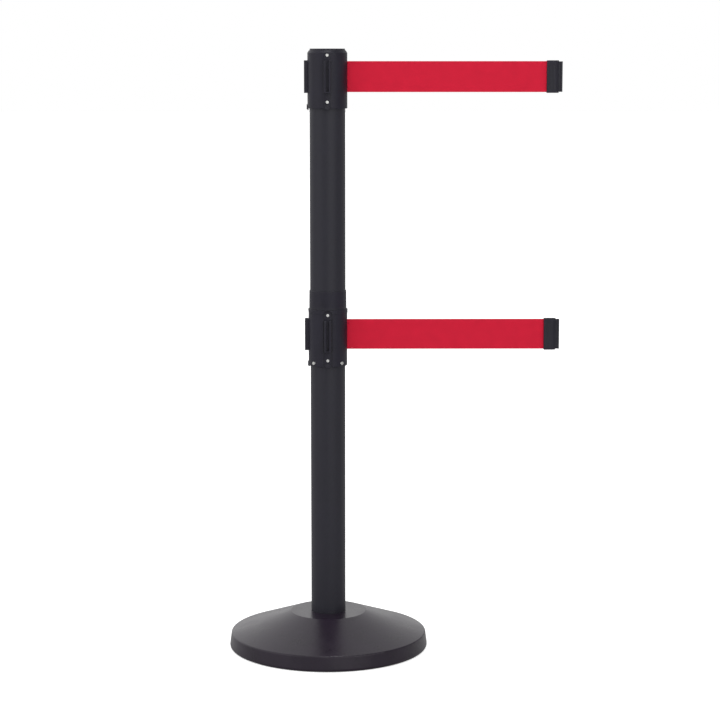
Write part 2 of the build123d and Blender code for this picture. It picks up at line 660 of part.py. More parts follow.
# ---------------------------------------------------------------- cassette
def make_cassette_base(unit):
    """The moulded plate under the spool: a disc, an arbor hub and a deep rim for the low screws."""
    outer = unit.tube_radius - TUBE_WALL - 2 * GAP
    top = unit.middle - PLATE_HALF
    name = f"{unit.name}_cassette_base"
    with BuildPart() as cassette_base:
        with BuildSketch(Plane.XY.offset(unit.middle - BASE_PLATE_DEPTH)):
            Circle(outer)
            Circle(outer - PLATE_RIM, mode=Mode.SUBTRACT)
            Circle(PLATE_HUB_RADIUS)
        extrude(amount=BASE_PLATE_DEPTH - PLATE_HALF - PLATE_DISC)
        with BuildSketch(Plane.XY.offset(top - PLATE_DISC)):
            Circle(outer)
        extrude(amount=PLATE_DISC)
        with Locations(Plane.XY.offset(top)):
            Hole(ARBOR_RADIUS)
        cut_receiver_screw_holes(unit, SCREW_RADIUS)
    cassette_base.part.label = name
    export_step(cassette_base.part, f"parts/{name}.step")


def make_cassette_lid(unit):
    """The moulded plate over the spool, with the arbor's upper seat and a rim for the high screws."""
    outer = unit.tube_radius - TUBE_WALL - 2 * GAP
    bottom = unit.middle + PLATE_HALF
    name = f"{unit.name}_cassette_lid"
    with BuildPart() as cassette_lid:
        with BuildSketch(Plane.XY.offset(bottom)):
            Circle(outer)
        extrude(amount=PLATE_DISC)
        with BuildSketch(Plane.XY.offset(bottom + PLATE_DISC)):
            Circle(outer)
            Circle(outer - PLATE_RIM, mode=Mode.SUBTRACT)
        extrude(amount=LID_PLATE_HEIGHT - PLATE_HALF - PLATE_DISC)
        with Locations(Plane.XY.offset(bottom + PLATE_DISC)):
            Hole(ARBOR_RADIUS)
        cut_receiver_screw_holes(unit, SCREW_RADIUS)
    cassette_lid.part.label = name
    export_step(cassette_lid.part, f"parts/{name}.step")


def make_arbor(unit):
    """The fixed steel shaft that the spool turns on, slotted for the power spring's inner end."""
    name = f"{unit.name}_arbor"
    with BuildPart() as arbor:
        with BuildSketch(Plane.XY.offset(unit.middle - ARBOR_BELOW)):
            Circle(ARBOR_RADIUS)
        extrude(amount=ARBOR_BELOW + ARBOR_ABOVE)
        chamfer(arbor.edges().group_by(Axis.Z)[-1], length=ARBOR_CHAMFER)
        chamfer(arbor.edges().group_by(Axis.Z)[0], length=ARBOR_CHAMFER)
        with BuildSketch(Plane.XY.offset(unit.middle - SPRING_HALF - ARBOR_SLOT_ROOM)):
            with Locations((ARBOR_RADIUS / 2 + ARBOR_SLOT_ROOM, 0)):
                Rectangle(ARBOR_RADIUS + 2 * ARBOR_SLOT_ROOM, 2 * SPRING_STRIP)
        extrude(amount=2 * (SPRING_HALF + ARBOR_SLOT_ROOM), mode=Mode.SUBTRACT)
    arbor.part.label = name
    export_step(arbor.part, f"parts/{name}.step")


def make_thrust_washers(unit):
    """The two thin washers that the spool's ends run against."""
    name = f"{unit.name}_thrust_washers"
    with BuildPart() as washers:
        for bottom in (unit.middle - PLATE_HALF, unit.middle + SPOOL_HALF + WASHER_GAP):
            with BuildSketch(Plane.XY.offset(bottom)):
                Circle(THRUST_WASHER_RADIUS)
                Circle(ARBOR_RADIUS + THRUST_WASHER_FIT, mode=Mode.SUBTRACT)
            extrude(amount=THRUST_WASHER)
    washers.part.label = name
    export_step(washers.part, f"parts/{name}.step")


def make_spool_drum(unit):
    """The spool: a lower flange, a hollow drum round the power spring and a bored end wall."""
    bottom = unit.middle - SPOOL_HALF
    bore = ARBOR_RADIUS + ARBOR_RUNNING_FIT
    name = f"{unit.name}_spool_drum"
    with BuildPart() as spool_drum:
        with BuildSketch(Plane.XY.offset(bottom)):
            Circle(FLANGE_RADIUS)
        extrude(amount=FLANGE_THICKNESS)
        with BuildSketch(Plane.XY.offset(bottom)):
            Circle(DRUM_RADIUS)
        extrude(amount=2 * SPOOL_HALF - FLANGE_THICKNESS)
        with BuildSketch(Plane.XY.offset(bottom + DRUM_END_WALL)):
            Circle(DRUM_RADIUS - DRUM_WALL)
        extrude(amount=2 * SPOOL_HALF, mode=Mode.SUBTRACT)
        with Locations(Plane.XY.offset(bottom + DRUM_END_WALL)):
            Hole(bore)
    spool_drum.part.label = name
    export_step(spool_drum.part, f"parts/{name}.step")


def make_spool_flange(unit):
    """The upper flange, which plugs into the drum and closes the spring's chamber."""
    bottom = unit.middle + SPOOL_HALF - FLANGE_THICKNESS
    bore = ARBOR_RADIUS + ARBOR_RUNNING_FIT
    name = f"{unit.name}_spool_flange"
    with BuildPart() as spool_flange:
        with BuildSketch(Plane.XY.offset(bottom)):
            Circle(FLANGE_RADIUS)
        extrude(amount=FLANGE_THICKNESS)
        with BuildSketch(Plane.XY.offset(bottom)):
            Circle(DRUM_RADIUS - DRUM_WALL - GAP)
        extrude(amount=FLANGE_THICKNESS - DRUM_END_WALL)
        with Locations(Plane.XY.offset(bottom + FLANGE_THICKNESS)):
            Hole(bore)
    spool_flange.part.label = name
    export_step(spool_flange.part, f"parts/{name}.step")


def spiral_edge(shift):
    """One side of the spring strip: half circles about alternating centres that grow by the pitch."""
    first = ARBOR_RADIUS + SPRING_START
    step = SPRING_PITCH / 2
    edges = []
    for half in range(2 * SPRING_TURNS):
        side = 1 if half % 2 == 0 else -1
        centre = (-side * step / 2, 0)
        edges.append(CenterArc(centre, first + shift + step * (half + 0.5), 90 - 90 * side, 180))
    return edges


def make_power_spring(unit):
    """The flat spiral spring inside the drum that winds the belt back in."""
    name = f"{unit.name}_power_spring"
    with BuildPart() as power_spring:
        with BuildSketch(Plane.XY.offset(unit.middle - SPRING_HALF)):
            with BuildLine():
                inside = spiral_edge(-SPRING_STRIP / 2)
                outside = spiral_edge(SPRING_STRIP / 2)
                Line(inside[0] @ 0, outside[0] @ 0)
                Line(inside[-1] @ 1, outside[-1] @ 1)
            make_face()
            with Locations(((inside[0] @ 0).X - SPRING_TAB_SHIFT, 0)):
                Rectangle(SPRING_TAB, SPRING_STRIP)
        extrude(amount=2 * SPRING_HALF)
    power_spring.part.label = name
    export_step(power_spring.part, f"parts/{name}.step")


def make_wound_belt(unit):
    """The belt still wound on the drum, as one solid roll."""
    name = f"{unit.name}_wound_belt"
    with BuildPart() as wound_belt:
        with BuildSketch(Plane.XY.offset(unit.middle - BELT_WIDTH / 2)):
            Circle(ROLL_RADIUS)
            Circle(DRUM_RADIUS + GAP, mode=Mode.SUBTRACT)
        extrude(amount=BELT_WIDTH)
    wound_belt.part.label = name
    export_step(wound_belt.part, f"parts/{name}.step")


# ---------------------------------------------------------------- belt exit
def exit_route():
    """Where the belt leaves the roll, and the centre of the guide pin that it turns round."""
    clear_radius = ROLL_RADIUS + BELT_THICKNESS / 2 + RUNNING_GAP
    bearing = acos(clear_radius / GUIDE_CORNER)
    leaves = (clear_radius * cos(bearing), clear_radius * sin(bearing))
    turn = radians(90) - bearing
    pin_x = GUIDE_CORNER + GUIDE_TURN_RADIUS * tan(turn / 2)
    return leaves, pin_x


def make_belt_lead(unit):
    """The short run of belt between the roll and the exit."""
    leaves, _ = exit_route()
    name = f"{unit.name}_belt_lead"
    with BuildPart() as belt_lead:
        with BuildSketch(Plane.XY.offset(unit.middle - BELT_WIDTH / 2)):
            with BuildLine():
                run = FilletPolyline(leaves, (GUIDE_CORNER, 0), (HEAD_RADIUS, 0), radius=GUIDE_TURN_RADIUS)
            trace(run, line_width=BELT_THICKNESS)
        extrude(amount=BELT_WIDTH)
    belt_lead.part.label = name
    export_step(belt_lead.part, f"parts/{name}.step")


def make_exit_guide(unit):
    """The moulded mouth in the sleeve's window: a flared slot outside and a pocket for the pins inside."""
    _, pin_x = exit_route()
    face = unit.sleeve_radius
    name = f"{unit.name}_exit_guide"
    with BuildPart() as exit_guide:
        with BuildSketch(radial_plane(0, unit.middle, GUIDE_INNER_FACE)):
            Rectangle(2 * GUIDE_HALF_WIDTH, 2 * GUIDE_HALF_HEIGHT)
        extrude(amount=HEAD_RADIUS)
        with Locations((0, 0, unit.middle)):
            Cylinder(face, 2 * CLIP_HEIGHT, mode=Mode.INTERSECT)
        with BuildSketch(radial_plane(0, unit.middle, GUIDE_INNER_FACE)):
            Rectangle(2 * GUIDE_POCKET_HALF, GUIDE_SLOT_HEIGHT)
        extrude(amount=GUIDE_POCKET_END - GUIDE_INNER_FACE, mode=Mode.SUBTRACT)
        with BuildSketch(Plane.XY.offset(unit.middle - GUIDE_SLOT_HEIGHT / 2)):
            with BuildLine():
                Polyline(
                    (GUIDE_INNER_FACE, GUIDE_SLOT_HALF),
                    (face - GUIDE_FLARE_DEPTH, GUIDE_SLOT_HALF),
                    (face + 1, GUIDE_SLOT_HALF + GUIDE_FLARE),
                    (face + 1, -GUIDE_SLOT_HALF - GUIDE_FLARE),
                    (face - GUIDE_FLARE_DEPTH, -GUIDE_SLOT_HALF),
                    (GUIDE_INNER_FACE, -GUIDE_SLOT_HALF),
                    close=True,
                )
            make_face()
        extrude(amount=GUIDE_SLOT_HEIGHT, mode=Mode.SUBTRACT)
        with BuildSketch(Plane.XY.offset(unit.middle - GUIDE_HALF_HEIGHT + GUIDE_PIN_END)):
            with Locations((pin_x, GUIDE_TURN_RADIUS), (pin_x, -GUIDE_TURN_RADIUS)):
                Circle(GUIDE_PIN_RADIUS)
        extrude(amount=2 * GUIDE_HALF_HEIGHT, mode=Mode.SUBTRACT)
    exit_guide.part.label = name
    export_step(exit_guide.part, f"parts/{name}.step")


def make_guide_pins(unit):
    """The two steel pins inside the mouth that the belt runs between."""
    _, pin_x = exit_route()
    name = f"{unit.name}_guide_pins"
    with BuildPart() as guide_pins:
        with BuildSketch(Plane.XY.offset(unit.middle - GUIDE_HALF_HEIGHT + GUIDE_PIN_END)):
            with Locations((pin_x, GUIDE_TURN_RADIUS), (pin_x, -GUIDE_TURN_RADIUS)):
                Circle(GUIDE_PIN_RADIUS)
        extrude(amount=2 * (GUIDE_HALF_HEIGHT - GUIDE_PIN_END))
    guide_pins.part.label = name
    export_step(guide_pins.part, f"parts/{name}.step")


# ---------------------------------------------------------------- belt and its end
def make_belt(unit):
    """The strap outside the post, sewn into a loop round the pin in the belt end."""
    name = f"{unit.name}_belt"
    with BuildPart() as belt:
        with BuildSketch(Plane.XY.offset(unit.middle - BELT_WIDTH / 2)):
            with Locations(((BELT_START + CLIP_PIN_X - CLIP_PIN_RADIUS) / 2, 0)):
                Rectangle(CLIP_PIN_X - CLIP_PIN_RADIUS - BELT_START, BELT_THICKNESS)
            with Locations((CLIP_PIN_X, 0)):
                Circle(BELT_LOOP_RADIUS)
                Circle(CLIP_PIN_RADIUS + GAP, mode=Mode.SUBTRACT)
        extrude(amount=BELT_WIDTH)
    belt.part.label = name
    export_step(belt.part, f"parts/{name}.step")


def make_belt_end(unit):
    """The moulded end of the belt: a ribbed grip and a T-rail that drops into another post's receiver."""
    taper_end = CLIP_BODY_LENGTH + CLIP_TAPER_LENGTH
    rail_start = taper_end + RAIL_NECK_LENGTH
    name = f"{unit.name}_belt_end"
    with BuildPart() as belt_end:
        with BuildSketch(Plane.XY.offset(unit.middle - CLIP_HEIGHT / 2)):
            with BuildLine():
                side = Polyline(
                    (CLIP_BACK, 0),
                    (CLIP_BACK, CLIP_HALF_THICKNESS),
                    (CLIP_BACK + CLIP_BODY_LENGTH, CLIP_HALF_THICKNESS),
                    (CLIP_BACK + taper_end, RAIL_NECK_HALF),
                    (CLIP_BACK + taper_end, 0),
                )
                mirror(side, about=Plane.XZ)
            make_face()
        extrude(amount=CLIP_HEIGHT)
        fillet(belt_end.edges().filter_by(Axis.Z).group_by(Axis.X)[0], radius=CLIP_BACK_ROUND)
        fillet(belt_end.edges().filter_by(Axis.Z).group_by(Axis.X)[-2], radius=CLIP_SHOULDER_ROUND)
        chamfer(belt_end.edges().group_by(Axis.Z)[-1], length=CLIP_EDGE)
        chamfer(belt_end.edges().group_by(Axis.Z)[0], length=CLIP_EDGE)
        with BuildSketch(Plane.XY.offset(unit.middle - GRIP_HEIGHT / 2)):
            with Locations((CLIP_BACK + CLIP_BODY_LENGTH / 2, 0)):
                with GridLocations(GRIP_PITCH, 2 * CLIP_HALF_THICKNESS, GRIP_RIBS, 2):
                    Rectangle(GRIP_WIDTH, 2 * GRIP_DEPTH)
        extrude(amount=GRIP_HEIGHT)
        with BuildSketch(Plane.XY.offset(unit.middle - RAIL_HEIGHT / 2)):
            with Locations((CLIP_BACK + (taper_end + rail_start) / 2, 0)):
                Rectangle(RAIL_NECK_LENGTH + 0.2, 2 * RAIL_NECK_HALF)
            with Locations((CLIP_BACK + rail_start + RAIL_THICKNESS / 2, 0)):
                RectangleRounded(RAIL_THICKNESS, 2 * RAIL_HALF_WIDTH, RAIL_ROUND)
        extrude(amount=RAIL_HEIGHT)
        with BuildSketch(Plane.XY.offset(unit.middle - BELT_WIDTH / 2 - CLIP_SLOT_FIT)):
            with Locations((CLIP_BACK, 0)):
                Rectangle(2 * (CLIP_PIN_X - CLIP_BACK), BELT_THICKNESS + CLIP_SLOT_FIT)
            with Locations((CLIP_PIN_X, 0)):
                Circle(BELT_LOOP_RADIUS + CLIP_SLOT_FIT / 2)
        extrude(amount=BELT_WIDTH + 2 * CLIP_SLOT_FIT, mode=Mode.SUBTRACT)
        with BuildSketch(Plane.XY.offset(unit.middle - CLIP_HEIGHT / 2)):
            with Locations((CLIP_PIN_X, 0)):
                Circle(CLIP_PIN_RADIUS)
        extrude(amount=CLIP_HEIGHT, mode=Mode.SUBTRACT)
    belt_end.part.label = name
    export_step(belt_end.part, f"parts/{name}.step")


def make_belt_end_pin(unit):
    """The steel pin through the belt's loop."""
    name = f"{unit.name}_belt_end_pin"
    with BuildPart() as belt_end_pin:
        with BuildSketch(Plane.XY.offset(unit.middle - CLIP_HEIGHT / 2 + CLIP_PIN_END)):
            with Locations((CLIP_PIN_X, 0)):
                Circle(CLIP_PIN_RADIUS)
        extrude(amount=CLIP_HEIGHT - 2 * CLIP_PIN_END)
    belt_end_pin.part.label = name
    export_step(belt_end_pin.part, f"parts/{name}.step")


make_base_cover()
make_base_weight()
make_floor_pad()
make_base_fasteners()
make_foot_plug()
make_lower_tube()
make_upper_tube()
make_tube_joiner()
make_head_sleeve()
make_collar_sleeve()
make_adapter_sleeve()
make_top_cap()
make_collar_screws()
for one in UNITS:
    for side_name, side_angle in RECEIVER_ANGLES.items():
        make_receiver(one, side_name, side_angle)
    make_receiver_screws(one)
    make_cassette_base(one)
    make_cassette_lid(one)
    make_arbor(one)
    make_thrust_washers(one)
    make_spool_drum(one)
    make_spool_flange(one)
    make_power_spring(one)
    make_wound_belt(one)
    make_belt_lead(one)
    make_exit_guide(one)
    make_guide_pins(one)
    make_belt(one)
    make_belt_end(one)
    make_belt_end_pin(one)
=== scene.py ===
"""The looks of the twin-belt queue post: webbing, pad, materials, light and camera."""

import json
from math import acos, atan2, ceil, cos, hypot, pi, radians, sin, tan

import bpy
from mathutils import Euler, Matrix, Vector


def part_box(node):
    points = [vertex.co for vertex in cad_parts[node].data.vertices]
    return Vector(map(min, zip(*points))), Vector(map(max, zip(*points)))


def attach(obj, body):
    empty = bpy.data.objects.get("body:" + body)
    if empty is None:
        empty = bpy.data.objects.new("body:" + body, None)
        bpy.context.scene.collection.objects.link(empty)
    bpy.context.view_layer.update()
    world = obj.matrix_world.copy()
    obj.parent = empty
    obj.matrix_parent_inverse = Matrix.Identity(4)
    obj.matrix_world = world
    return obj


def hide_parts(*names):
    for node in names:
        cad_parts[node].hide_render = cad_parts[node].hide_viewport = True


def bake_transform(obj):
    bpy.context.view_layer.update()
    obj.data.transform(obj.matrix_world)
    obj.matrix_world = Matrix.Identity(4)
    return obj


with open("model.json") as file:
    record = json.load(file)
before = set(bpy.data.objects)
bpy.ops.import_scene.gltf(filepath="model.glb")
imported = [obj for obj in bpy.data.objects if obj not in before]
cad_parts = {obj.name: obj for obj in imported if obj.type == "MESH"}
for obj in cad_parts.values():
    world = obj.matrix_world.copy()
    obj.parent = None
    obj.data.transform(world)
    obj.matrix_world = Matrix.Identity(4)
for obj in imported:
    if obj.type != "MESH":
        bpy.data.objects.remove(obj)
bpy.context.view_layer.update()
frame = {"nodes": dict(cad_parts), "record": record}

MM = 0.001
UNITS = ("upper", "lower")

# webbing, in metres
THICKNESS = 0.6 * MM
RIB_PITCH = 1.27 * MM
RIB_DEPTH = 0.07 * MM
RIB_STEPS = 4  # points across one rib
SELVEDGE = 0.98  # share of the edge's rounding that is drawn, so that the edge has a face
PICK_PITCH = 0.95 * MM  # one crossing yarn to the next, along the belt
ROLL_STEPS = 44  # sections in one turn of the roll
ROLL_RIBS = 4  # the roll's ribs are this many times wider, and its webbing this much thinner
ROLL_THINNING = 0.96
LOOP_ANGLE = 150  # degrees each side of the pin that the belt wraps it
LOOP_STEP = 15  # degrees between sections round the pin
LOOP_ROOM = 0.1 * MM  # between the pin and the belt round it
NECK_START = 6 * MM  # behind the pin: a straight stretch that ends inside the pin's pocket
NECK_STOP = 2.3 * MM
TAIL_BACK = 1.9 * MM  # the loop's cut end, behind the pin and to its side
TAIL_SIDE = 0.5 * MM
BEND_STEPS = 8

# the belt's run inside the post
RUNNING_GAP = 0.35 * MM  # between the roll and the run that leaves it
CORNER = 27.0 * MM  # where that run turns into the exit
CORNER_RADIUS = 1.6 * MM
MOUTH = 1.2 * MM  # how far inside the mouth the free belt starts
DRUM_RADIUS = 14.05 * MM

# floor pad
PAD_CENTRE = 10 * MM  # radius of the plain middle
PAD_RING = 6 * MM  # width of a grip ring, and of the groove after it
PAD_GROOVE = 0.8 * MM
PAD_BORDER = 16 * MM  # kept clear of rings, with the plain middle
PAD_EASE = 0.5 * MM  # how far round each ring's edge the rubber curves
PAD_EASE_RISE = 0.15 * MM
PAD_RIM = 3 * MM
PAD_EDGE = 1.0 * MM
PAD_STEPS = 128

# edges sharper than this stay sharp, in degrees
WEBBING_SHARP = 50
PLAIN_SHARP = 30

# colours, as linear red, green and blue
TUBE_BLACK, TUBE_RUBBED = (0.0086, 0.0072, 0.0185), (0.03, 0.03, 0.036)
BASE_BLACK, BASE_RUBBED = (0.0145, 0.0085, 0.0185), (0.038, 0.034, 0.04)
SLEEVE_BLACK, SLEEVE_RUBBED = (0.0105, 0.0092, 0.019), (0.03, 0.03, 0.036)
SCREW_BRIGHT, ZINC_GREY, SPRING_BLUE = (0.86, 0.86, 0.84), (0.56, 0.56, 0.55), (0.24, 0.25, 0.29)
IRON_GREY, IRON_RUSTY = (0.05, 0.05, 0.054), (0.1, 0.086, 0.075)
RUBBER_BLACK, RUBBER_BLOOM = (0.012, 0.012, 0.013), (0.03, 0.03, 0.031)
NYLON_DULL, NYLON_PALE = (0.53, 0.52, 0.47), (0.66, 0.65, 0.61)
# the yarn's red, and the same red darkened as painted shade in the gaps between ribs and picks
YARN_PAINTED_SHADE, YARN_RED = (0.54, 0.0095, 0.03), (0.79, 0.0165, 0.054)
FLOOR_DULL, FLOOR_PALE = (0.93, 0.93, 0.93), (0.95, 0.95, 0.95)
WORN_FROM, WORN_TO = 0.53, 0.62  # the pointiness where wear starts, and where it is full

# camera, in metres and degrees
EYE_DISTANCE = 3.587
EYE_HEIGHT = 1.02
EYE_SIDE = 0.0268
EYE_TURN = 0.436  # to the right of square-on
EYE_PITCH = 8.318  # below level
LENS = 107.35  # millimetres
SENSOR = 36.0

# stage
FLOOR_HALF = 30.0  # metres
FLOOR_GLOW = 0.62
FLOOR_GREY = 0.6  # its colour to all rays but the camera's
SKY_FRONT, SKY_BACK = 0.6, 1.12  # the studio's brightness towards -Y and +Y
SKY_LEFT, SKY_RIGHT = 1.25, 0.6  # and its share of that towards -X and +X


# ---------------------------------------------------------------- node helpers
def add(tree, kind, **settings):
    """A new shader node with these properties set."""
    made = tree.nodes.new(kind)
    for key, value in settings.items():
        setattr(made, key, value)
    return made


def maths(tree, operation, first, second=None):
    """A math node; each argument is a socket or a number."""
    made = add(tree, "ShaderNodeMath", operation=operation)
    for index, value in enumerate((first, second)):
        if value is None:
            continue
        if isinstance(value, (int, float)):
            made.inputs[index].default_value = value
        else:
            tree.links.new(value, made.inputs[index])
    return made.outputs[0]


def place(tree, stretch=(1, 1, 1)):
    """Object coordinates, stretched along each axis."""
    source = add(tree, "ShaderNodeTexCoord")
    scaled = add(tree, "ShaderNodeMapping")
    scaled.inputs["Scale"].default_value = stretch
    tree.links.new(source.outputs["Object"], scaled.inputs["Vector"])
    return scaled.outputs["Vector"]


def noise(tree, where, size, detail=2.0):
    """Noise between 0 and 1 whose features are about this size, in metres."""
    made = add(tree, "ShaderNodeTexNoise")
    made.inputs["Scale"].default_value = 1 / size
    made.inputs["Detail"].default_value = detail
    tree.links.new(where, made.inputs["Vector"])
    return made.outputs["Fac"]


def ramp(tree, value, low, high, start=0.3, stop=0.7):
    """Maps a value from start..stop onto low..high."""
    made = add(tree, "ShaderNodeMapRange")
    ends = {"From Min": start, "From Max": stop, "To Min": low, "To Max": high}
    for name, number in ends.items():
        made.inputs[name].default_value = number
    tree.links.new(value, made.inputs["Value"])
    return made.outputs["Result"]


def tint(tree, value, low, high):
    """A colour between two, by a value from 0 to 1."""
    made = add(tree, "ShaderNodeMix", data_type="RGBA")
    made.inputs["A"].default_value = (*low, 1)
    made.inputs["B"].default_value = (*high, 1)
    tree.links.new(value, made.inputs["Factor"])
    return made.outputs["Result"]


def bump(tree, height, depth, strength=1.0, under=None):
    """A bump of this depth, in metres, on top of another bump's normal."""
    made = add(tree, "ShaderNodeBump")
    made.inputs["Strength"].default_value = strength
    made.inputs["Distance"].default_value = depth
    tree.links.new(height, made.inputs["Height"])
    if under is not None:
        tree.links.new(under, made.inputs["Normal"])
    return made.outputs["Normal"]


def material(name, metal=0.0, **constants):
    """A new material, its node tree and its shader, with these constants set on the shader."""
    made = bpy.data.materials.new(name)
    made.use_nodes = True
    shader = made.node_tree.nodes["Principled BSDF"]
    shader.inputs["Metallic"].default_value = metal
    for socket, value in constants.items():
        shader.inputs[socket.replace("_", " ")].default_value = value
    return made, made.node_tree, shader


def worn_edge(tree):
    """0 on flat places and 1 along convex edges."""
    shape = add(tree, "ShaderNodeNewGeometry")
    return ramp(tree, shape.outputs["Pointiness"], 0, 1, WORN_FROM, WORN_TO)


# ---------------------------------------------------------------- materials
def coated(name, colour, edge, rough, grain, grain_depth, level):
    """Paint or moulded plastic: a fine grained skin, uneven gloss and slightly rubbed edges.

    Level is the specular level, and grain the size of the skin's grain in metres.
    """
    made, tree, shader = material(name, Specular_IOR_Level=level)
    where = place(tree)
    cloud = noise(tree, where, 0.035, 3)
    skin = noise(tree, where, grain, 2)
    peel = noise(tree, where, grain * 5, 2)
    darker, lighter = [0.86 * c for c in colour], [1.14 * c for c in colour]
    body = tint(tree, ramp(tree, cloud, 0, 1), darker, lighter)
    rubbed = add(tree, "ShaderNodeMix", data_type="RGBA")
    tree.links.new(maths(tree, "MULTIPLY", worn_edge(tree), 0.5), rubbed.inputs["Factor"])
    tree.links.new(body, rubbed.inputs["A"])
    rubbed.inputs["B"].default_value = (*edge, 1)
    tree.links.new(rubbed.outputs["Result"], shader.inputs["Base Color"])
    patches = ramp(tree, cloud, rough - 0.03, rough + 0.03)
    gloss = maths(tree, "ADD", patches, ramp(tree, skin, -0.03, 0.03))
    tree.links.new(gloss, shader.inputs["Roughness"])
    waves = bump(tree, peel, grain_depth * 2, 0.5)
    tree.links.new(bump(tree, skin, grain_depth, 0.6, waves), shader.inputs["Normal"])
    return made


def plated(name, colour, rough, stretch=(1, 1, 1)):
    """Bare or plated steel with fine scratches and small clouds in the plating."""
    made, tree, shader = material(name, metal=1.0)
    where = place(tree, stretch)
    cloud = noise(tree, place(tree), 0.006, 3)
    scratch = noise(tree, where, 0.0006, 4)
    shade = tint(tree, ramp(tree, cloud, 0, 1), [0.8 * c for c in colour], colour)
    tree.links.new(shade, shader.inputs["Base Color"])
    brushed = ramp(tree, scratch, rough - 0.06, rough + 0.08)
    gloss = maths(tree, "ADD", brushed, ramp(tree, cloud, -0.03, 0.03))
    tree.links.new(gloss, shader.inputs["Roughness"])
    tree.links.new(bump(tree, scratch, 0.01 * MM, 0.5), shader.inputs["Normal"])
    return made


def cast_iron():
    """Sand-cast iron: coarse grain, pits and a touch of rust colour in the hollows."""
    made, tree, shader = material("cast_iron")
    where = place(tree)
    sand = noise(tree, where, 0.0011, 5)
    patch = noise(tree, where, 0.03, 3)
    body = tint(tree, ramp(tree, patch, 0, 1), IRON_GREY, IRON_RUSTY)
    tree.links.new(body, shader.inputs["Base Color"])
    tree.links.new(ramp(tree, sand, 0.62, 0.9), shader.inputs["Roughness"])
    tree.links.new(bump(tree, sand, 0.25 * MM), shader.inputs["Normal"])
    return made


def rubber():
    """Matte rubber with a dusty bloom."""
    made, tree, shader = material("pad_rubber", Specular_IOR_Level=0.3)
    where = place(tree)
    bloom = noise(tree, where, 0.02, 4)
    pores = noise(tree, where, 0.0007, 3)
    body = tint(tree, ramp(tree, bloom, 0, 1), RUBBER_BLACK, RUBBER_BLOOM)
    tree.links.new(body, shader.inputs["Base Color"])
    tree.links.new(ramp(tree, pores, 0.72, 0.88), shader.inputs["Roughness"])
    tree.links.new(bump(tree, pores, 0.05 * MM), shader.inputs["Normal"])
    return made


def nylon():
    """Natural nylon: slightly translucent off-white with a fine moulded skin."""
    made, tree, shader = material("nylon", Subsurface_Weight=0.12, Subsurface_Scale=1.5 * MM)
    where = place(tree)
    cloud = noise(tree, where, 0.012, 3)
    skin = noise(tree, where, 0.0005, 2)
    body = tint(tree, ramp(tree, cloud, 0, 1), NYLON_DULL, NYLON_PALE)
    tree.links.new(body, shader.inputs["Base Color"])
    tree.links.new(ramp(tree, skin, 0.38, 0.5), shader.inputs["Roughness"])
    tree.links.new(bump(tree, skin, 0.02 * MM, 0.5), shader.inputs["Normal"])
    return made


def webbing(name, straight):
    """Close red weave: ribs along the belt, crossed by picks that change sides from rib to rib; the
    red is darkened in the gaps between yarns as painted shade.
    """
    gloss = {"Sheen_Weight": 0.06, "Sheen_Roughness": 0.4, "Specular_IOR_Level": 0.12}
    made, tree, shader = material(name, **gloss)
    across = add(tree, "ShaderNodeAttribute", attribute_name="across").outputs["Fac"]
    if straight:
        source = add(tree, "ShaderNodeTexCoord")
        apart = add(tree, "ShaderNodeSeparateXYZ")
        tree.links.new(source.outputs["Object"], apart.inputs[0])
        along = apart.outputs["X"]
    else:
        along = add(tree, "ShaderNodeAttribute", attribute_name="along").outputs["Fac"]
    rib = maths(tree, "DIVIDE", across, RIB_PITCH)
    side = maths(tree, "MULTIPLY", maths(tree, "FLOOR", rib), 0.5)
    pick = maths(tree, "ADD", maths(tree, "DIVIDE", along, PICK_PITCH), side)
    ridge = maths(tree, "ABSOLUTE", maths(tree, "SINE", maths(tree, "MULTIPLY", rib, pi)))
    bead = maths(tree, "ABSOLUTE", maths(tree, "SINE", maths(tree, "MULTIPLY", pick, pi)))
    round_rib, round_bead = maths(tree, "POWER", ridge, 0.6), maths(tree, "POWER", bead, 0.5)
    # the yarns' relief: the height for the weave's bump, and also the mask for the painted shade in
    # its gaps
    yarn_relief_and_shade_mask = maths(tree, "MULTIPLY", round_rib, round_bead)
    where = place(tree, (0.25, 1, 1))
    fibre = noise(tree, where, 0.00025, 3)
    cloud = noise(tree, place(tree), 0.02, 3)
    # painted shade: the red darkens where the yarns dip between ribs and picks
    thread_with_painted_shade = tint(tree, yarn_relief_and_shade_mask, YARN_PAINTED_SHADE, YARN_RED)
    dyed = add(tree, "ShaderNodeMix", data_type="RGBA", blend_type="MULTIPLY")
    dyed.inputs["Factor"].default_value = 1.0
    tree.links.new(thread_with_painted_shade, dyed.inputs["A"])
    shade = maths(tree, "MULTIPLY", ramp(tree, fibre, 0.9, 1.06), ramp(tree, cloud, 0.96, 1.03))
    tree.links.new(shade, dyed.inputs["B"])
    tree.links.new(dyed.outputs["Result"], shader.inputs["Base Color"])
    tree.links.new(ramp(tree, fibre, 0.6, 0.78), shader.inputs["Roughness"])
    weave = bump(tree, yarn_relief_and_shade_mask, 0.09 * MM, 0.8)
    tree.links.new(bump(tree, fibre, 0.02 * MM, 0.5, weave), shader.inputs["Normal"])
    return made


def floor_paint():
    """Plain pale floor, matte. It is lit to white for the camera, and grey to all other rays."""
    made, tree, shader = material("floor", Specular_IOR_Level=0.0, Roughness=0.9)
    cloud = noise(tree, place(tree), 0.6, 2)
    tree.links.new(tint(tree, cloud, FLOOR_DULL, FLOOR_PALE), shader.inputs["Base Color"])
    shader.inputs["Emission Color"].default_value = (1, 1, 1, 1)
    shader.inputs["Emission Strength"].default_value = FLOOR_GLOW
    grey = add(tree, "ShaderNodeBsdfDiffuse")
    grey.inputs["Color"].default_value = (FLOOR_GREY, FLOOR_GREY, FLOOR_GREY, 1)
    rays = add(tree, "ShaderNodeLightPath")
    mixed = add(tree, "ShaderNodeMixShader")
    tree.links.new(rays.outputs["Is Camera Ray"], mixed.inputs[0])
    tree.links.new(grey.outputs[0], mixed.inputs[1])
    tree.links.new(shader.outputs[0], mixed.inputs[2])
    tree.links.new(mixed.outputs[0], tree.nodes["Material Output"].inputs["Surface"])
    return made


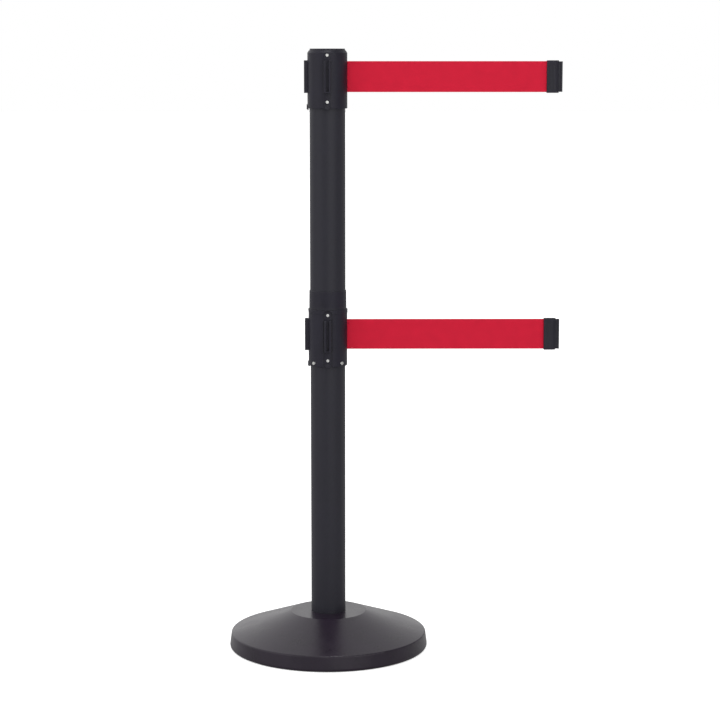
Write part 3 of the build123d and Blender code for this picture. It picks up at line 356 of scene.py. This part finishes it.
FINISH = {
    "tube_paint": coated(
        "tube_paint", TUBE_BLACK, TUBE_RUBBED,
        rough=0.45, grain=0.5 * MM, grain_depth=0.02 * MM, level=0.3,
    ),
    "base_paint": coated(
        "base_paint", BASE_BLACK, BASE_RUBBED,
        rough=0.3, grain=0.45 * MM, grain_depth=0.03 * MM, level=0.4,
    ),
    "sleeve_plastic": coated(
        "sleeve_plastic", SLEEVE_BLACK, SLEEVE_RUBBED,
        rough=0.48, grain=0.3 * MM, grain_depth=0.01 * MM, level=0.32,
    ),
    "screw_steel": plated("screw_steel", SCREW_BRIGHT, 0.24),
    "zinc_steel": plated("zinc_steel", ZINC_GREY, 0.36, (1, 1, 0.15)),
    "spring_steel": plated("spring_steel", SPRING_BLUE, 0.3, (1, 1, 0.2)),
    "cast_iron": cast_iron(),
    "pad_rubber": rubber(),
    "nylon": nylon(),
    "belt_webbing": webbing("webbing_straight", True),
}
WOUND_WEBBING = webbing("webbing_wound", False)

for subpart in frame["record"]["subparts"]:
    node = frame["nodes"][subpart["node"]]
    node.data.materials.clear()
    node.data.materials.append(FINISH[subpart["material_slot"]])


# ---------------------------------------------------------------- meshes
def mesh_piece(name, points, faces, finish, sharp):
    """A smooth-shaded mesh object with edges sharper than this angle kept sharp."""
    mesh = bpy.data.meshes.new(name)
    mesh.from_pydata(points, [], faces)
    mesh.validate()
    mesh.shade_smooth()
    mesh.set_sharp_from_angle(angle=radians(sharp))
    mesh.materials.append(finish)
    made = bpy.data.objects.new(name, mesh)
    bpy.context.scene.collection.objects.link(made)
    return made


def webbing_outline(width, thickness, pitch):
    """The belt's section as (across, out) points: ribbed faces and rounded selvedges."""
    half = width / 2
    round_from = half - thickness / 2
    count = RIB_STEPS * ceil(width / pitch)
    face = []
    for step in range(count + 1):
        across = width * step / count - half
        past = max(0, abs(across) - round_from) / (thickness / 2)
        crown = (1 - min(past, SELVEDGE) ** 2) ** 0.5
        groove = RIB_DEPTH * (0.5 + 0.5 * cos(2 * pi * across / pitch))
        face.append((across, crown * (thickness / 2 - groove)))
    back = [(across, -out) for across, out in reversed(face)]
    return face + back


def sweep(name, path, middle, outline, finish):
    """Webbing along a level path of (x, y) points; the mesh keeps its distance along and across."""
    points, faces, along, length = [], [], [], 0.0
    for index, (x, y) in enumerate(path):
        before = path[max(index - 1, 0)]
        after = path[min(index + 1, len(path) - 1)]
        heading = atan2(after[1] - before[1], after[0] - before[0])
        length += hypot(x - before[0], y - before[1])
        for across, out in outline:
            points.append((x - sin(heading) * out, y + cos(heading) * out, middle + across))
            along.append(length)
    ring = len(outline)
    for index in range(len(path) - 1):
        for k in range(ring):
            near, far = index * ring + k, index * ring + (k + 1) % ring
            faces.append((near, far, far + ring, near + ring))
    faces.append(tuple(reversed(range(ring))))
    faces.append(tuple(range(len(points) - ring, len(points))))
    made = mesh_piece(name, points, faces, finish, WEBBING_SHARP)
    for kept, values in (("along", along), ("across", [a for _ in path for a, _ in outline])):
        made.data.attributes.new(kept, "FLOAT", "POINT").data.foreach_set("value", values)
    return made, length


def lathe(name, profile, steps, finish):
    """A profile of (radius, height) points, from axis to axis, turned about the tube's axis."""
    points = [(0, 0, profile[0][1]), (0, 0, profile[-1][1])]
    rings = profile[1:-1]
    for radius, height in rings:
        turns = [2 * pi * step / steps for step in range(steps)]
        points += [(radius * cos(turn), radius * sin(turn), height) for turn in turns]
    faces = []
    for step in range(steps):
        after = (step + 1) % steps
        faces.append((0, 2 + after, 2 + step))
        for ring in range(len(rings) - 1):
            here, there = 2 + ring * steps, 2 + (ring + 1) * steps
            faces.append((here + step, here + after, there + after, there + step))
        last = 2 + (len(rings) - 1) * steps
        faces.append((1, last + step, last + after))
    return mesh_piece(name, points, faces, finish, PLAIN_SHARP)


# ---------------------------------------------------------------- belts
def arc(centre, radius, start, stop, steps):
    """Points on an arc, from one angle to another, in radians."""
    turns = [start + (stop - start) * step / steps for step in range(steps + 1)]
    return [(centre[0] + radius * cos(turn), centre[1] + radius * sin(turn)) for turn in turns]


def make_belt(unit):
    """One unit's webbing: the roll, the run inside the mouth and the belt outside the post."""
    low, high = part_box(f"{unit}_belt")
    middle, width = (low.z + high.z) / 2, high.z - low.z
    roll_low, roll_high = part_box(f"{unit}_wound_belt")
    pin_low, pin_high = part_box(f"{unit}_belt_end_pin")
    clip_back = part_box(f"{unit}_belt_end")[0].x
    outline = webbing_outline(width, THICKNESS, RIB_PITCH)

    # the belt outside, with its loop round the pin
    pin_x, pin_radius = (pin_low.x + pin_high.x) / 2, (pin_high.x - pin_low.x) / 2
    loop = pin_radius + THICKNESS / 2 + LOOP_ROOM
    steps = 2 * LOOP_ANGLE // LOOP_STEP
    wrap = arc((pin_x, 0), loop, radians(LOOP_ANGLE), radians(-LOOP_ANGLE), steps)
    straight = [(low.x - MOUTH, 0), (low.x, 0), ((low.x + clip_back) / 2, 0), (clip_back, 0)]
    neck = [(pin_x - NECK_START, 0), (pin_x - NECK_STOP, 0)]
    tail = [(pin_x - TAIL_BACK, -TAIL_SIDE)]
    route = straight + neck + wrap + tail
    strap, length = sweep(f"{unit}_strap", route, middle, outline, FINISH["belt_webbing"])
    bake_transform(strap)
    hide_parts(f"{unit}_belt")

    # the run from the roll to the mouth
    roll_radius = (roll_high.x - roll_low.x) / 2
    clear = roll_radius + THICKNESS / 2 + RUNNING_GAP
    bearing = acos(clear / CORNER)
    turn = pi / 2 - bearing
    start = (clear * cos(bearing), clear * sin(bearing))
    reach = CORNER_RADIUS * tan(turn / 2)
    bend = arc((CORNER + reach, CORNER_RADIUS), CORNER_RADIUS, pi + bearing, 3 * pi / 2, BEND_STEPS)
    run = [start] + bend + [(low.x - MOUTH, 0)]
    lead, length = sweep(f"{unit}_strap_lead", run, middle, outline, WOUND_WEBBING)
    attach(lead, "post")
    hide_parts(f"{unit}_belt_lead")

    # the roll: turns wound closely on the drum
    inner = DRUM_RADIUS + THICKNESS / 2
    outer = roll_radius - THICKNESS / 2
    turns = (outer - inner) / THICKNESS
    steps = int(turns * ROLL_STEPS)
    spiral = []
    for step in range(steps + 1):
        share = step / steps
        radius = outer + (inner - outer) * share
        angle = bearing + 2 * pi * turns * share
        spiral.append((radius * cos(angle), radius * sin(angle)))
    coarse = webbing_outline(width, THICKNESS * ROLL_THINNING, RIB_PITCH * ROLL_RIBS)
    roll, length = sweep(f"{unit}_roll", spiral, middle, coarse, WOUND_WEBBING)
    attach(roll, f"{unit}_spool")
    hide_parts(f"{unit}_wound_belt")


for unit_name in UNITS:
    make_belt(unit_name)


# ---------------------------------------------------------------- floor pad
def make_pad():
    """The rubber pad with grip rings moulded in its underside."""
    low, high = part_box("floor_pad")
    radius, top, floor = high.x, high.z, low.z
    profile = [(0, floor + PAD_GROOVE), (PAD_CENTRE, floor + PAD_GROOVE)]
    for index in range(int((radius - PAD_BORDER) / (2 * PAD_RING))):
        start = PAD_CENTRE + 2 * PAD_RING * index
        stop = start + PAD_RING
        profile += [
            (start + PAD_EASE, floor + PAD_EASE_RISE),
            (start + 2 * PAD_EASE, floor),
            (stop, floor),
            (stop + PAD_EASE, floor + PAD_EASE_RISE),
            (stop + 2 * PAD_EASE, floor + PAD_GROOVE),
            (stop + PAD_RING, floor + PAD_GROOVE),
        ]
    profile += [(radius - PAD_RIM, floor), (radius - PAD_EASE, floor)]
    profile += [(radius, floor + PAD_EASE), (radius, top - PAD_EDGE)]
    profile += [(radius - PAD_EDGE, top), (0, top)]
    pad = lathe("floor_pad_ribbed", profile, PAD_STEPS, FINISH["pad_rubber"])
    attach(pad, "post")
    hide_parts("floor_pad")


make_pad()


# ---------------------------------------------------------------- stage, light and camera
def make_floor():
    """A wide pale floor."""
    near, far = -FLOOR_HALF, FLOOR_HALF
    corners = [(near, near, 0), (far, near, 0), (far, far, 0), (near, far, 0)]
    floor = mesh_piece("floor", corners, [(0, 1, 2, 3)], floor_paint(), PLAIN_SHARP)


def make_world():
    """White to the camera, and to everything else a studio that is bright above and behind."""
    world = bpy.data.worlds.new("studio")
    bpy.context.scene.world = world
    world.use_nodes = True
    tree = world.node_tree
    output = tree.nodes["World Output"]
    plain = tree.nodes["Background"]
    plain.inputs["Color"].default_value = (1, 1, 1, 1)
    plain.inputs["Strength"].default_value = 1.0
    studio = add(tree, "ShaderNodeBackground")
    studio.inputs["Color"].default_value = (1, 1, 1, 1)
    source = add(tree, "ShaderNodeTexCoord")
    apart = add(tree, "ShaderNodeSeparateXYZ")
    tree.links.new(source.outputs["Generated"], apart.inputs[0])
    depth = ramp(tree, apart.outputs["Y"], SKY_FRONT, SKY_BACK, -0.4, 0.9)
    side = ramp(tree, apart.outputs["X"], SKY_LEFT, SKY_RIGHT, -0.9, 0.9)
    tree.links.new(maths(tree, "MULTIPLY", depth, side), studio.inputs["Strength"])
    rays = add(tree, "ShaderNodeLightPath")
    mixed = add(tree, "ShaderNodeMixShader")
    tree.links.new(rays.outputs["Is Camera Ray"], mixed.inputs[0])
    tree.links.new(studio.outputs[0], mixed.inputs[1])
    tree.links.new(plain.outputs[0], mixed.inputs[2])
    tree.links.new(mixed.outputs[0], output.inputs["Surface"])


def softbox(name, where, towards, size, power):
    """A rectangular area light aimed at a point."""
    data = bpy.data.lights.new(name, "AREA")
    data.shape = "RECTANGLE"
    data.size, data.size_y = size
    data.energy = power
    made = bpy.data.objects.new(name, data)
    made.location = where
    made.rotation_euler = (Vector(towards) - Vector(where)).to_track_quat("-Z", "Y").to_euler()
    made.visible_camera = False
    bpy.context.scene.collection.objects.link(made)


def make_camera():
    """The camera at the photograph's place and angle."""
    data = bpy.data.cameras.new("camera")
    data.lens = LENS
    data.sensor_width = SENSOR
    made = bpy.data.objects.new("camera", data)
    made.location = (EYE_SIDE, -EYE_DISTANCE, EYE_HEIGHT)
    made.rotation_euler = Euler((radians(90 - EYE_PITCH), 0, radians(-EYE_TURN)))
    bpy.context.scene.collection.objects.link(made)
    bpy.context.scene.camera = made


make_floor()
make_world()
softbox("key_left", (-2.6, -1.8, 1.4), (0, 0, 0.6), (2.6, 2.4), 14)
softbox("front", (1.5, -3.2, 1.4), (0, 0, 0.6), (3.0, 2.6), 30)
softbox("top", (0, -1.2, 3.2), (0, 0, 0.5), (1.1, 1.0), 18)
make_camera()
bpy.context.scene.view_settings.view_transform = "Standard"
